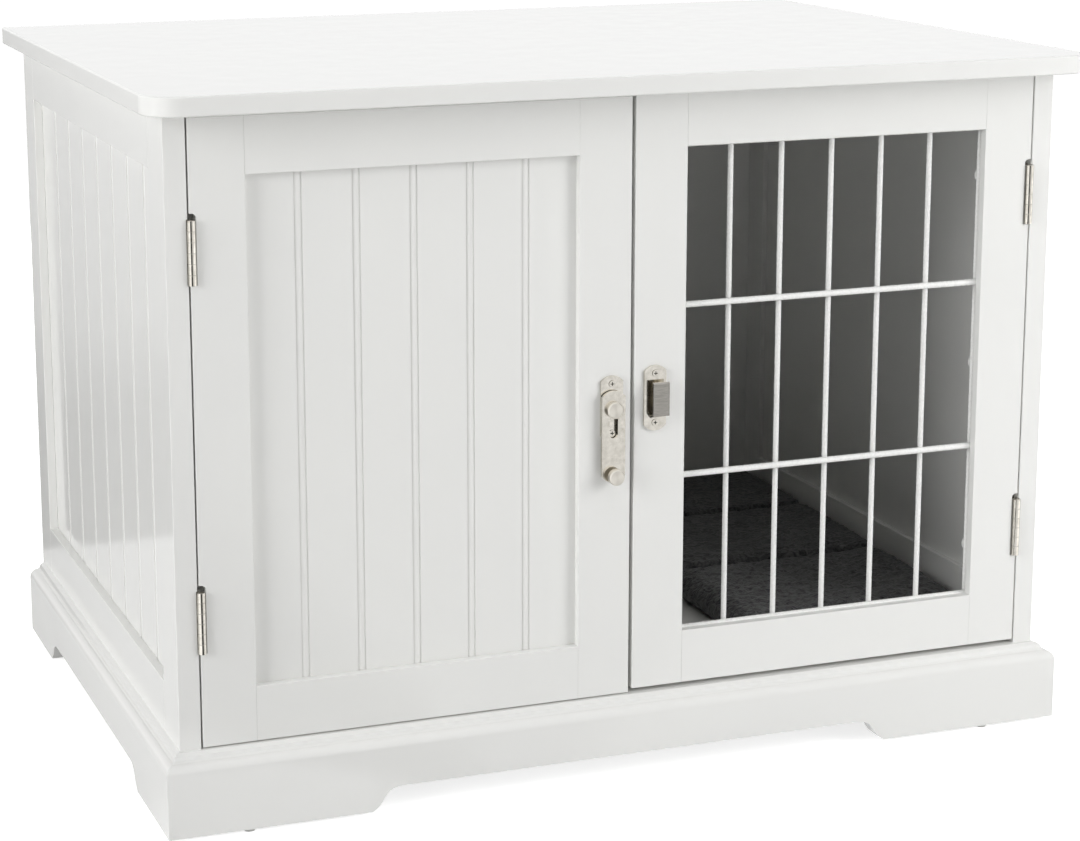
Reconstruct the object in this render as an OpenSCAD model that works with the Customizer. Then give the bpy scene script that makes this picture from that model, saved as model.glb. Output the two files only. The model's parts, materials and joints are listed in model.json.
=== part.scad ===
// Indoor kennel built like a small sideboard: a painted cabinet with two front doors,
// one boarded and one with a wire grille, a swing-bar latch, a moulded plinth and a mat.
// Millimetres. X runs to the right, Y to the back, Z up.
// The origin is on the floor, under the middle of the tabletop.

/* [Tabletop] */
// Height of the tabletop's upper face above the floor
kennel_h = 533; // [480:1:640]
// Width of the tabletop
top_w = 730; // [660:1:820]
// Depth of the tabletop, which is also the depth to the cabinet's back
top_d = 535; // [470:1:620]
// Thickness of the tabletop
top_t = 14; // [10:0.5:22]
// Radius of the two front corners in plan
top_corner_r = 27; // [12:1:45]
// Radius of the eased edges
top_ease = 1.5; // [0.8:0.1:3]
// Overhang in front of the doors
top_front_overhang = 34.2; // [28:0.5:45]
// Overhang at each side
top_side_overhang = 17.3; // [14.5:0.5:30]

/* [Sides] */
// Thickness of the side frames
side_t = 16; // [14:0.5:20]
// Width of each side's front stile
side_front_stile_w = 44; // [32:1:60]
// Width of each side's back stile
side_back_stile_w = 38; // [30:1:60]
// Height of each side's top rail
side_top_rail_h = 44; // [32:1:60]
// Height at which each side's bottom rail ends, above the plinth
side_bottom_rail_show = 39; // [25:1:60]
// Height of the sides' lower ends above the floor, hidden behind the skirts
side_foot_z = 23; // [21.5:0.5:28]
// Number of beads on each side panel
side_bead_count = 7; // [3:1:8]
// Distance from the front stile to the first bead
side_bead_first = 46; // [30:1:60]
// Distance between beads on the side panels
side_bead_pitch = 52.8; // [40:0.5:53]

/* [Boarding] */
// Thickness of the beaded panels
panel_t = 4.5; // [4:0.5:7]
// How far the beaded panels lie behind the faces of their frames
panel_recess = 7; // [3:0.5:8]
// How far the beaded panels reach into their frames
panel_tuck = 6; // [4:0.5:8]
// Slack around a panel in its groove
panel_slack = 0.15; // [0.05:0.05:0.4]
// Radius of the curve across each bead
bead_r = 4; // [3:0.1:5]
// Width of the channel that holds a bead
bead_channel_w = 6; // [5.5:0.1:8]
// Depth of the channel that holds a bead
bead_channel_d = 0.9; // [0.6:0.1:1.4]
// Radius of the softened edges of the frames
arris_r = 0.5; // [0.3:0.1:1.5]

/* [Back and floor] */
// Thickness of the back panel
back_t = 8; // [5:0.5:12]
// Thickness of the floor board
floor_t = 12; // [9:0.5:15]
// Width and height of the cleats that carry the floor and hold the tabletop
cleat_w = 16; // [12:0.5:20]
// Distance from the ends of the cleats to the stiles
cleat_end_gap = 15; // [5:1:40]
// Height of the strip that stops the doors behind
stop_h = 12; // [8:0.5:15]
// Depth of the strip that stops the doors
stop_d = 14; // [8:0.5:20]
// Gap between the closed doors and the strip
stop_gap = 0.5; // [0.3:0.1:1]

/* [Plinth] */
// Height of the plinth, from the glides to the top of its moulding
plinth_h = 59.5; // [54:0.5:80]
// Thickness of the front skirt
skirt_front_t = 15.5; // [13.5:0.5:20]
// Thickness of the side skirts
skirt_side_t = 13; // [12.5:0.5:14]
// How far the side skirts stop short of the back
skirt_back_short = 5; // [0:0.5:12]
// Radius of the moulding's nose
nose_r = 6.5; // [5:0.1:7]
// Height of the moulding's nose above its spring line, below the top of the plinth
nose_drop = 12; // [11:0.5:14]
// Height of the arches under the skirts
arch_h = 17.4; // [12:0.5:18]
// Half of the bottom width of the front arch
front_arch_half = 209; // [120:1:230]
// Length of the side skirts' front feet
side_front_foot = 99; // [70:1:130]
// Length of the side skirts' back feet
side_back_foot = 89; // [60:1:120]
// Width of the S-curve at each end of an arch
ogee_w = 23.7; // [15:0.5:35]
// Diameter of the glides
glide_d = 10; // [8:0.5:12]
// Height of the glides
glide_h = 3; // [2:0.5:5]
// Distance of the front glides from the middle
front_glide_x = 300; // [250:1:320]
// Distance of the back glides from the cabinet's back
back_glide_y = 40; // [25:1:60]

/* [Doors] */
// Thickness of the doors
door_t = 16; // [15:0.5:20]
// Gap between the right door and the tabletop
door_top_gap = 2; // [1.5:0.1:6]
// Height of the left door above the plinth
left_door_lift = 0.9; // [0.5:0.1:2]
// How much higher the right door hangs than the left door
right_door_lift = 2.5; // [0:0.1:3]
// Gap between each door and its side
door_side_gap = 1.3; // [1.2:0.1:2]
// Gap between the two doors
door_middle_gap = 3; // [2:0.1:4]
// Width of the stiles that carry the hinges
hinge_stile_w = 40; // [30:1:55]
// Width of the stiles that meet in the middle
meeting_stile_w = 41; // [35:1:55]
// Height of the door rails
door_rail_h = 41; // [30:1:55]
// Number of beads on the left door's panel
door_bead_count = 5; // [2:1:5]
// Distance between beads on the left door's panel
door_bead_pitch = 42.4; // [30:0.2:46]

/* [Grille] */
// Width of the rebate that holds the grille behind the right door's opening
rebate_w = 8; // [7:0.5:10]
// Diameter of the horizontal wires
cross_wire_d = 4.7; // [3.5:0.1:5]
// Diameter of the upright wires
upright_wire_d = 4.2; // [3:0.1:4.5]
// Number of upright wires seen in the opening
upright_count = 5; // [2:1:8]
// Distance between the upright wires
upright_pitch = 41.6; // [25:0.2:41.8]
// Number of horizontal wires seen in the opening
cross_count = 2; // [1:1:4]
// Distance between the horizontal wires
cross_pitch = 130; // [60:1:150]
// How deep the wires are welded into each other
weld_depth = 0.3; // [0.1:0.1:0.6]
// Distance from the outermost upright wires to the edge of the opening
wire_cover = 3.3; // [2.8:0.1:4]
// Distance from the outermost horizontal wires to the edge of the opening
cross_cover = 0.6; // [0.3:0.1:3]
// How far the wires run past their last weld
wire_past = 3.5; // [2.5:0.1:4]
// Width of the clips that hold the grille
clip_w = 11; // [8:0.5:12]
// Length of the clips
clip_l = 20; // [16:0.5:26]
// Thickness of the clips
clip_t = 1.5; // [1:0.1:2]
// How far the tips of the clips end outside the opening
clip_back = 1.3; // [0:0.1:2]
// Distance of the outer clips on the stiles from the middle of the door
clip_spread = 147; // [100:1:160]
// Offset of the clips on the rails from the middle of the opening
clip_rail_shift = -7; // [-20:1:20]

/* [Hinges] */
// Height of the hinges
hinge_h = 45.5; // [40:0.5:60]
// Distance from the ends of the doors to the middle of the hinges
hinge_inset = 93; // [70:1:120]
// Number of knuckles in each hinge
knuckle_count = 6; // [4:2:8]
// Radius of the knuckles
knuckle_r = 2.9; // [2.6:0.1:3]
// Distance from the hinge pins to the side frames
hinge_room = 2.3; // [2:0.1:2.5]
// Room beside the knuckles in the doors' pockets
pocket_room = 1; // [0.5:0.1:2]
// Gap between neighbouring knuckles
knuckle_gap = 0.2; // [0.1:0.05:0.4]
// How far the hinge pins stand in front of the doors' faces
pin_proud = 1.2; // [1:0.1:1.5]
// Radius of the hinge pins
pin_r = 1.25; // [1:0.05:1.4]
// Running clearance around the hinge pins
pin_clear = 0.05; // [0.02:0.01:0.1]
// Thickness of the hinge leaves
leaf_t = 0.9; // [0.7:0.1:1]
// How deep the leaves are let into the wood
leaf_sink = 0.4; // [0.3:0.05:0.6]
// How far the leaves reach behind the doors' faces
leaf_reach = 13; // [11:0.5:14]
// Height of the round-ended notch that shows above each hinge
notch_h = 4.5; // [3:0.5:6]
// Depth of that notch
notch_d = 12; // [8:0.5:13]
// Distance between the two screws of a leaf
hinge_screw_pitch = 26; // [18:1:32]

/* [Latch] */
// Distance of the latch plate's middle below the middle of the left door
latch_drop = 3.8; // [-40:0.1:40]
// How much higher the keeper's middle stands than the latch stud
keeper_rise = 5.2; // [4.6:0.1:5.6]
// Distance of the latch stud from the middle of the front
stud_x = 17; // [14:0.5:20]
// Distance of the keeper's middle from the middle of the front
keeper_x = 17.6; // [15:0.1:20]
// Width of the latch plate and the keeper
plate_w = 17.6; // [16:0.1:19]
// Height of the latch plate and the keeper
plate_h = 49.5; // [47:0.5:56]
// Thickness of the latch plate and the keeper
plate_t = 2; // [1.5:0.1:2.5]
// Radius of the plates' curved ends
plate_end_r = 11; // [10:0.5:14]
// Distance between the screws of a plate
plate_screw_pitch = 37.3; // [36:0.1:40]
// Width of the latch bar
bar_w = 18.4; // [15:0.1:19]
// Thickness of the latch bar
bar_t = 2.5; // [2:0.1:3]
// Distance from the stud to the bar's near end
bar_tail = 14; // [11:0.5:16]
// Distance from the stud to the bar's far end
bar_reach = 55; // [54:0.5:60]
// Distance the slot runs from the stud
slot_run = 18.4; // [12:0.1:22]
// Width of the slot in the bar
slot_w = 6.6; // [6.4:0.1:8]
// Distance from the stud to the knob
knob_reach = 50; // [49.4:0.1:52]
// Diameter of the knob
knob_d = 12; // [10:0.5:14]
// Diameter of the stud's head
stud_head_d = 12.5; // [10:0.5:14]
// Thickness of the heads of the stud and the knob
head_t = 4; // [3:0.5:5]
// Width of the keeper's strap
strap_w = 13; // [11:0.5:14]
// Height of the keeper's strap above its ledge
strap_h = 24.5; // [22:0.5:25.5]
// Thickness of the keeper's strap
strap_t = 1.8; // [1.5:0.1:2.2]
// Room for the bar in front of the keeper's plate
strap_room = 4.6; // [4.2:0.1:5.2]
// Upward tilt of the bar when it lies in the keeper, in degrees
latched_tilt = 5.7; // [4:0.1:7]
// Clearance between the parts of the latch
latch_clear = 0.4; // [0.3:0.05:0.5]

/* [Mat] */
// Width of the mat
mat_w = 212; // [150:1:300]
// Bare floor between the doors and the mat
mat_front_room = 40; // [5:1:120]
// Thickness of the mat
mat_t = 26; // [14:1:35]
// Clearance between the mat and the boards around it
mat_clear = 0.4; // [0.3:0.1:3]
// Number of sewn channels
mat_channels = 3; // [2:1:5]
// How far the sides of the mat draw in at the seams
mat_draw = 4; // [1:0.5:8]

/* [Hidden] */

// Colours
paint = [0.93, 0.93, 0.91];
coated_wire = [0.95, 0.95, 0.94];
nickel = [0.72, 0.71, 0.69];
zinc = [0.62, 0.63, 0.64];
mat_grey = [0.16, 0.16, 0.17];
raw_wood = [0.78, 0.66, 0.48];
glide_grey = [0.80, 0.80, 0.78];

// A cut reaches this far past the faces it opens
past = 1;
// Facets of the small arcs
$fn = 32;

// Main planes of the cabinet
top_under = kennel_h - top_t;
body_half = top_w / 2 - top_side_overhang;
inner_half = body_half - side_t;
front_y = -top_d / 2 + top_front_overhang;
back_y = top_d / 2;
back_inner_y = back_y - back_t;
plinth_top = glide_h + plinth_h;
skirt_front_y = front_y - skirt_front_t;
skirt_side_x = body_half + skirt_side_t;
skirt_end_y = back_y - skirt_back_short;

// Side frames
side_open_y0 = front_y + side_front_stile_w;
side_open_y1 = back_y - side_back_stile_w;
side_open_z0 = plinth_top + side_bottom_rail_show;
side_open_z1 = top_under - side_top_rail_h;

// Doors, in the frame of the right door: x from the middle, z from the door's lower edge
door_x0 = door_middle_gap / 2;
door_x1 = inner_half - door_side_gap;
door_open_x0 = door_x0 + meeting_stile_w;
door_open_x1 = door_x1 - hinge_stile_w;
door_open_mid = (door_open_x0 + door_open_x1) / 2;
left_door_z = plinth_top + left_door_lift;
right_door_z = left_door_z + right_door_lift;
door_back_y = front_y + door_t;
door_h = top_under - door_top_gap - right_door_z;

// Hinges
hinge_x = inner_half - hinge_room;
hinge_y = front_y - pin_proud;
knuckle_pitch = hinge_h / knuckle_count;
knuckle_room = 0.4;
leaf_screw_y = front_y + leaf_reach / 2 + 1.2;

// Grille
cross_y = front_y + panel_recess + cross_wire_d / 2;
upright_y = cross_y + (cross_wire_d + upright_wire_d) / 2 - weld_depth;

// Latch, measured forward from the doors' faces
bar_back = plate_t + 1.2;
bar_front = bar_back + bar_t;
strap_back = plate_t + strap_room;
strap_front = strap_back + strap_t;
stud_head_back = bar_front + 0.2;
knob_head_back = strap_front + latch_clear;
latch_stud_z = left_door_z + door_h / 2 - latch_drop;
keeper_mid_z = latch_stud_z + keeper_rise;
strap_x0 = keeper_x + plate_w / 2 - strap_w;
ledge_z = latch_stud_z + (strap_x0 + stud_x) * tan(latched_tilt)
    - bar_w / 2 / cos(latched_tilt) - latch_clear;

// Wood screws for the frames, the hinges and the latch
wood_screw_r = 1.8;
wood_screw_l = 26;
small_screw_r = 1.3;
small_screw_l = 10;
screw_slack = 0.03;

// Cleats
cleat_l = side_open_y1 - side_open_y0 - 2 * cleat_end_gap;
cleat_mid_y = (side_open_y0 + side_open_y1) / 2;
cleat_screw_ys = [for (i = [-1 : 1]) cleat_mid_y + i * cleat_l * 0.4];
cleat_screw_step = 20;

// A rectangle with true round corners, its lower left corner at the origin
module round_rect(w, h, r) {
    translate([r, 0]) square([w - 2 * r, h]);
    translate([0, r]) square([w, h - 2 * r]);
    for (x = [r, w - r], y = [r, h - r])
        translate([x, y]) circle(r = r);
}

// A board with softened edges all round
module board(w, d, h, r = arris_r) {
    intersection() {
        linear_extrude(h) round_rect(w, d, r);
        translate([0, d, 0]) rotate([90, 0, 0]) linear_extrude(d) round_rect(w, h, r);
        rotate([90, 0, 90]) linear_extrude(w) round_rect(d, h, r);
    }
}

// A board with softened edges along Y and plain ends
module board_along_y(w, d, h, r = arris_r) {
    translate([0, d, 0]) rotate([90, 0, 0]) linear_extrude(d) round_rect(w, h, r);
}

// A board with softened edges along X and plain ends
module board_along_x(w, d, h, r = arris_r) {
    rotate([90, 0, 90]) linear_extrude(w) round_rect(d, h, r);
}

// The cross-section of a beaded panel: its face is at y = 0 and it is t thick
module bead_section(w, t, beads) {
    difference() {
        square([w, t]);
        for (x = beads)
            translate([x - bead_channel_w / 2, -past]) square([bead_channel_w, bead_channel_d + past]);
    }
    intersection() {
        square([w, t]);
        for (x = beads)
            translate([x, bead_r]) circle(r = bead_r);
    }
}

// A countersunk wood screw with a cross recess, its head's face at z = 0 and its point down
module wood_screw(r, l, proud = 0) {
    head_r = 2 * r;
    difference() {
        union() {
            translate([0, 0, -l]) cylinder(r = r, h = l - r);
            translate([0, 0, -r]) cylinder(r1 = r, r2 = head_r, h = r);
            cylinder(r = head_r, h = max(proud, 0.05));
        }
        for (a = [0, 90])
            rotate(a) translate([-head_r * 0.55, -r * 0.25, max(proud, 0.05) - 0.5 * r])
                cube([head_r * 1.1, r * 0.5, r]);
    }
}

// The hole that a wood screw fills
module screw_hole(r, l) {
    translate([0, 0, -l - screw_slack]) cylinder(r = r + screw_slack, h = l);
    translate([0, 0, -r]) cylinder(r1 = r + screw_slack, r2 = 2 * r + screw_slack, h = r);
    translate([0, 0, -screw_slack]) cylinder(r = 2 * r + screw_slack, h = past);
}

// What lies outside the tabletop's rounded front right corner
module tabletop_corner_cut() {
    r = top_corner_r;
    e = top_ease;
    intersection() {
        translate([top_w / 2 - r, -top_d / 2 + r, top_under]) rotate_extrude($fn = 96) difference() {
            translate([r - 2 * e, -past]) square([r, top_t + 2 * past]);
            square([r - e, top_t]);
            translate([0, e]) square([r, top_t - 2 * e]);
            for (z = [e, top_t - e])
                translate([r - e, z]) circle(r = e);
        }
        translate([top_w / 2 - r, -top_d / 2 - past, top_under - 2 * past])
            cube([r + past, r + past, top_t + 4 * past]);
    }
}

module tabletop() {
    color(paint) difference() {
        translate([-top_w / 2, -top_d / 2, top_under]) intersection() {
            board_along_x(top_w, top_d, top_t, top_ease);
            board_along_y(top_w, top_d, top_t, top_ease);
        }
        for (m = [0, 1])
            mirror([m, 0, 0]) tabletop_corner_cut();
        top_cleat_screw_places(true) screw_hole(wood_screw_r, wood_screw_l);
    }
}

// Places of the screws that go up through the top cleats, or sideways into the sides
module top_cleat_screw_places(up) {
    for (s = [-1, 1], y = cleat_screw_ys)
        if (up)
            translate([s * (inner_half - cleat_w / 2), y - cleat_screw_step, top_under - cleat_w]) rotate([180, 0, 0]) children();
        else
            translate([s * (inner_half - cleat_w), y, top_under - cleat_w / 2]) rotate([0, -s * 90, 0]) children();
}

module floor_cleat_screw_places() {
    for (s = [-1, 1], y = cleat_screw_ys)
        translate([s * (inner_half - cleat_w), y, plinth_top - floor_t - cleat_w / 2])
            rotate([0, -s * 90, 0]) children();
}

// Side frames, drawn for the right side
module side_groove() {
    x0 = body_half - panel_recess - panel_t - panel_slack;
    translate([x0, side_open_y0 - panel_tuck - panel_slack, side_open_z0 - panel_tuck - panel_slack])
        cube([panel_t + 2 * panel_slack, side_open_y1 - side_open_y0 + 2 * (panel_tuck + panel_slack),
            side_open_z1 - side_open_z0 + 2 * (panel_tuck + panel_slack)]);
}

module side_tongue(z, h) {
    x0 = body_half - panel_recess - panel_t;
    translate([x0, side_open_y0 - panel_tuck, z])
        cube([panel_t, side_open_y1 - side_open_y0 + 2 * panel_tuck, h]);
}

module side_stile_groove() {
    x0 = body_half - panel_recess - panel_t - panel_slack;
    translate([x0, side_open_y0 - panel_tuck - panel_slack, side_foot_z - past])
        cube([panel_t + 2 * panel_slack, side_open_y1 - side_open_y0 + 2 * (panel_tuck + panel_slack),
            top_under - side_foot_z - panel_slack + past]);
}

module side_stile(y, w) {
    translate([inner_half, y, side_foot_z])
        linear_extrude(top_under - side_foot_z) round_rect(side_t, w, arris_r);
}

module side_front_stile(s, door_z) {
    color(paint) difference() {
        mirror([s < 0 ? 1 : 0, 0, 0]) difference() {
            side_stile(front_y, side_front_stile_w);
            side_stile_groove();
            for (z = hinge_heights(door_z))
                hinge_relief(z);
        }
        cabinet_leaf_screw_places(s) screw_hole(small_screw_r, small_screw_l);
    }
}

module side_back_stile(s) {
    color(paint) mirror([s < 0 ? 1 : 0, 0, 0]) difference() {
        side_stile(side_open_y1, side_back_stile_w);
        side_stile_groove();
    }
}

module side_top_rail(s) {
    tongue_h = side_top_rail_h - panel_tuck - 2 * panel_slack - past;
    color(paint) difference() {
        mirror([s < 0 ? 1 : 0, 0, 0]) {
            difference() {
                translate([inner_half, side_open_y0, side_open_z1])
                    board_along_y(side_t, side_open_y1 - side_open_y0, side_top_rail_h);
                side_groove();
            }
            side_tongue(top_under - tongue_h - past, tongue_h);
        }
        top_cleat_screw_places(false) screw_hole(wood_screw_r, wood_screw_l);
    }
}

module side_bottom_rail(s) {
    rail_h = side_open_z0 - side_foot_z;
    tongue_h = rail_h - panel_tuck - 2 * panel_slack - past;
    color(paint) difference() {
        mirror([s < 0 ? 1 : 0, 0, 0]) {
            difference() {
                translate([inner_half, side_open_y0, side_foot_z])
                    board_along_y(side_t, side_open_y1 - side_open_y0, rail_h);
                side_groove();
            }
            side_tongue(side_foot_z + past, tongue_h);
        }
        floor_cleat_screw_places() screw_hole(wood_screw_r, wood_screw_l);
    }
}

module side_bead_panel(s) {
    w = side_open_y1 - side_open_y0 + 2 * panel_tuck;
    beads = [for (i = [0 : side_bead_count - 1]) panel_tuck + side_bead_first + i * side_bead_pitch];
    color(paint) mirror([s < 0 ? 1 : 0, 0, 0])
        translate([body_half - panel_recess, side_open_y0 - panel_tuck, side_open_z0 - panel_tuck])
            linear_extrude(side_open_z1 - side_open_z0 + 2 * panel_tuck)
                rotate(90) bead_section(w, panel_t, beads);
}

// Back, floor, cleats and door stop
module back_panel() {
    color(paint) translate([-inner_half, back_inner_y, side_foot_z])
        cube([2 * inner_half, back_t, top_under - side_foot_z]);
}

module floor_board() {
    color(paint) translate([-inner_half, front_y, plinth_top - floor_t])
        cube([2 * inner_half, back_inner_y - front_y, floor_t]);
}

module cleat_pair(z) {
    for (s = [-1, 1])
        translate([s * (inner_half - cleat_w / 2) - cleat_w / 2, cleat_mid_y - cleat_l / 2, z])
            cube([cleat_w, cleat_l, cleat_w]);
}

module floor_cleats() {
    color(raw_wood) difference() {
        cleat_pair(plinth_top - floor_t - cleat_w);
        floor_cleat_screw_places() screw_hole(wood_screw_r, wood_screw_l);
    }
}

module top_cleats() {
    color(paint) difference() {
        cleat_pair(top_under - cleat_w);
        for (up = [true, false])
            top_cleat_screw_places(up) screw_hole(wood_screw_r, wood_screw_l);
    }
}

module door_stop() {
    w = 2 * (inner_half - cleat_w - cleat_end_gap);
    color(paint) translate([-w / 2, door_back_y + stop_gap, top_under - stop_h])
        board_along_x(w, stop_d, stop_h);
}

module cabinet_screws() {
    color(zinc) {
        floor_cleat_screw_places() wood_screw(wood_screw_r, wood_screw_l);
        for (up = [true, false])
            top_cleat_screw_places(up) wood_screw(wood_screw_r, wood_screw_l);
    }
}

// Plinth
function bezier(p, t) = p[0] * pow(1 - t, 3) + p[1] * 3 * t * pow(1 - t, 2)
    + p[2] * 3 * t * t * (1 - t) + p[3] * t * t * t;

// The S-curve from the end of a foot up to the arch, as an offset into the arch
function ogee() = [for (i = [0 : 10]) bezier([[0, 0], [0.5 * ogee_w, 0.37 * arch_h],
    [0.29 * ogee_w, 0.97 * arch_h], [ogee_w, arch_h]], i / 10)];

// The arch between two feet, from a to b along the skirt
module arch(a, b) {
    up = [for (p = ogee()) [a + p[0], p[1]]];
    down = [for (i = [10 : -1 : 0]) [b - ogee()[i][0], ogee()[i][1]]];
    polygon(concat([[a, -past]], up, down, [[b, -past]]));
}

// The moulded section of a skirt: its face is at x = 0
module skirt_section(t) {
    spring = plinth_h - nose_drop;
    nose_top = spring + nose_r;
    polygon([[0, 0], [t, 0], [t, plinth_h], [nose_r * 2, plinth_h], [nose_r + 2.9, plinth_h - 1.7],
        [nose_r + 1.9, nose_top + 1], [nose_r, nose_top], [nose_r, spring], [0, spring]]);
    intersection() {
        translate([nose_r, spring]) circle(r = nose_r, $fn = 48);
        translate([0, spring - past]) square([nose_r + 0.01, nose_r + 2 * past]);
    }
}

module front_skirt() {
    color(paint) difference() {
        intersection() {
            translate([-skirt_side_x, skirt_front_y, glide_h])
                rotate([90, 0, 90]) linear_extrude(2 * skirt_side_x) skirt_section(skirt_front_t);
            linear_extrude(plinth_top + past)
                polygon([[-skirt_side_x, skirt_front_y], [skirt_side_x, skirt_front_y],
                    [body_half, front_y], [-body_half, front_y]]);
        }
        translate([0, front_y + past, glide_h]) rotate([90, 0, 0])
            linear_extrude(skirt_front_t + 2 * past) arch(-front_arch_half, front_arch_half);
    }
}

module side_skirt(s) {
    l = skirt_end_y - skirt_front_y;
    color(paint) mirror([s < 0 ? 1 : 0, 0, 0]) difference() {
        intersection() {
            translate([skirt_side_x, skirt_end_y, glide_h])
                rotate([90, 0, 0]) linear_extrude(l) mirror([1, 0]) skirt_section(skirt_side_t);
            linear_extrude(plinth_top + past)
                polygon([[skirt_side_x, skirt_front_y], [skirt_side_x, skirt_end_y],
                    [body_half, skirt_end_y], [body_half, front_y]]);
        }
        translate([body_half - past, 0, glide_h]) rotate([90, 0, 90])
            linear_extrude(skirt_side_t + 2 * past)
                arch(skirt_front_y + side_front_foot, skirt_end_y - side_back_foot);
    }
}

module glides() {
    front_glide_y = skirt_front_y + skirt_front_t / 2;
    places = [[front_glide_x, front_glide_y],
        [body_half + skirt_side_t / 2, back_y - back_glide_y]];
    color(glide_grey) for (s = [-1, 1], p = places)
        translate([s * p[0], p[1], 0]) cylinder(d1 = glide_d - 1.6, d2 = glide_d, h = glide_h);
}

// Doors, drawn for the right door with its lower edge at z = 0
module door_groove() {
    y0 = front_y + panel_recess - panel_slack;
    translate([door_open_x0 - panel_tuck - panel_slack, y0, door_rail_h - panel_tuck - panel_slack])
        cube([door_open_x1 - door_open_x0 + 2 * (panel_tuck + panel_slack), panel_t + 2 * panel_slack,
            door_h - 2 * door_rail_h + 2 * (panel_tuck + panel_slack)]);
}

module door_rebate() {
    translate([door_open_x0 - rebate_w, front_y + panel_recess, door_rail_h - rebate_w])
        cube([door_open_x1 - door_open_x0 + 2 * rebate_w, door_t - panel_recess + past,
            door_h - 2 * door_rail_h + 2 * rebate_w]);
}

// Moves right-hand shapes to the left or right door
module on_door(s) {
    translate([0, 0, s < 0 ? left_door_z : right_door_z]) mirror([s < 0 ? 1 : 0, 0, 0]) children();
}

module door_inside(s) {
    if (s < 0)
        door_groove();
    else
        door_rebate();
}

module door_hinge_stile(s) {
    color(paint) difference() {
        on_door(s) difference() {
            translate([door_open_x1, front_y, 0]) board(hinge_stile_w, door_t, door_h);
            door_inside(s);
            for (z = hinge_heights(0))
                door_hinge_mortise(z);
            if (s > 0)
                clip_screw_places() screw_hole(small_screw_r, small_screw_l);
        }
        door_leaf_screw_places(s) screw_hole(small_screw_r, small_screw_l);
    }
}

module door_meeting_stile(s) {
    color(paint) difference() {
        on_door(s) difference() {
            translate([door_x0, front_y, 0]) board(meeting_stile_w, door_t, door_h);
            door_inside(s);
            if (s > 0)
                clip_screw_places() screw_hole(small_screw_r, small_screw_l);
        }
        if (s < 0)
            latch_screw_places() screw_hole(small_screw_r, small_screw_l);
        else
            keeper_screw_places() screw_hole(small_screw_r, small_screw_l);
    }
}

module door_rail(s, z) {
    color(paint) on_door(s) difference() {
        translate([door_open_x0, front_y, z])
            board_along_x(door_open_x1 - door_open_x0, door_t, door_rail_h);
        door_inside(s);
        if (s > 0)
            clip_screw_places() screw_hole(small_screw_r, small_screw_l);
    }
}

module left_door_bead_panel() {
    w = door_open_x1 - door_open_x0 + 2 * panel_tuck;
    beads = [for (i = [0 : door_bead_count - 1]) w / 2 + (i - (door_bead_count - 1) / 2) * door_bead_pitch];
    color(paint) on_door(-1)
        translate([door_open_x0 - panel_tuck, front_y + panel_recess, door_rail_h - panel_tuck])
            linear_extrude(door_h - 2 * (door_rail_h - panel_tuck)) bead_section(w, panel_t, beads);
}

// Grille in the right door
module wire(l, d) {
    cylinder(d = d, h = l);
    for (z = [0, l])
        translate([0, 0, z]) sphere(d = d);
}

module grille() {
    x_ends = [door_open_x0 - wire_cover, door_open_x1 + wire_cover];
    z_ends = [door_rail_h - cross_cover, door_h - door_rail_h + cross_cover];
    xs = concat(x_ends, [for (i = [0 : upright_count - 1])
        door_open_mid + (i - (upright_count - 1) / 2) * upright_pitch]);
    zs = concat(z_ends, [for (i = [0 : cross_count - 1])
        door_h / 2 + (i - (cross_count - 1) / 2) * cross_pitch]);
    reach = wire_past - upright_wire_d / 2;
    color(coated_wire) on_door(1) {
        for (x = xs)
            translate([x, upright_y, z_ends[0] - reach]) wire(z_ends[1] - z_ends[0] + 2 * reach, upright_wire_d);
        for (z = zs)
            translate([x_ends[0] - reach, cross_y, z]) rotate([0, 90, 0])
                wire(x_ends[1] - x_ends[0] + 2 * reach, cross_wire_d);
    }
}

// Places of the clips: the tip points along +X at the opening's edge, the clip lies on the door's back
module clip_places() {
    y = front_y + door_t;
    for (z = [-clip_spread, 0, clip_spread]) {
        translate([door_open_x0, y, door_h / 2 + z]) children();
        translate([door_open_x1, y, door_h / 2 + z]) rotate([0, 180, 0]) children();
    }
    translate([door_open_mid + clip_rail_shift, y, door_rail_h]) rotate([0, -90, 0]) children();
    translate([door_open_mid - clip_rail_shift, y, door_h - door_rail_h]) rotate([0, 90, 0]) children();
}

clip_screw_x = clip_w / 2 - clip_l - clip_back;

module clip_screw_places() {
    clip_places() translate([clip_screw_x, clip_t, 0]) rotate([-90, 0, 0]) children();
}

module grille_clips() {
    r = clip_w / 2;
    color(coated_wire) on_door(1) clip_places() difference() {
        translate([0, clip_t, 0]) rotate([90, 0, 0]) linear_extrude(clip_t) {
            translate([clip_screw_x, -r]) square([clip_l - 2 * r, clip_w]);
            for (x = [clip_screw_x, -clip_back - r])
                translate([x, 0]) circle(r = r);
        }
        translate([clip_screw_x, clip_t, 0]) rotate([-90, 0, 0]) screw_hole(small_screw_r, small_screw_l);
    }
}

module grille_clip_screws() {
    color(zinc) on_door(1) clip_screw_places() wood_screw(small_screw_r, small_screw_l);
}

// Hinges, drawn for the right-hand side around the pin's axis
function hinge_heights(door_z) = [door_z + hinge_inset, door_z + door_h - hinge_inset];

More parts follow.
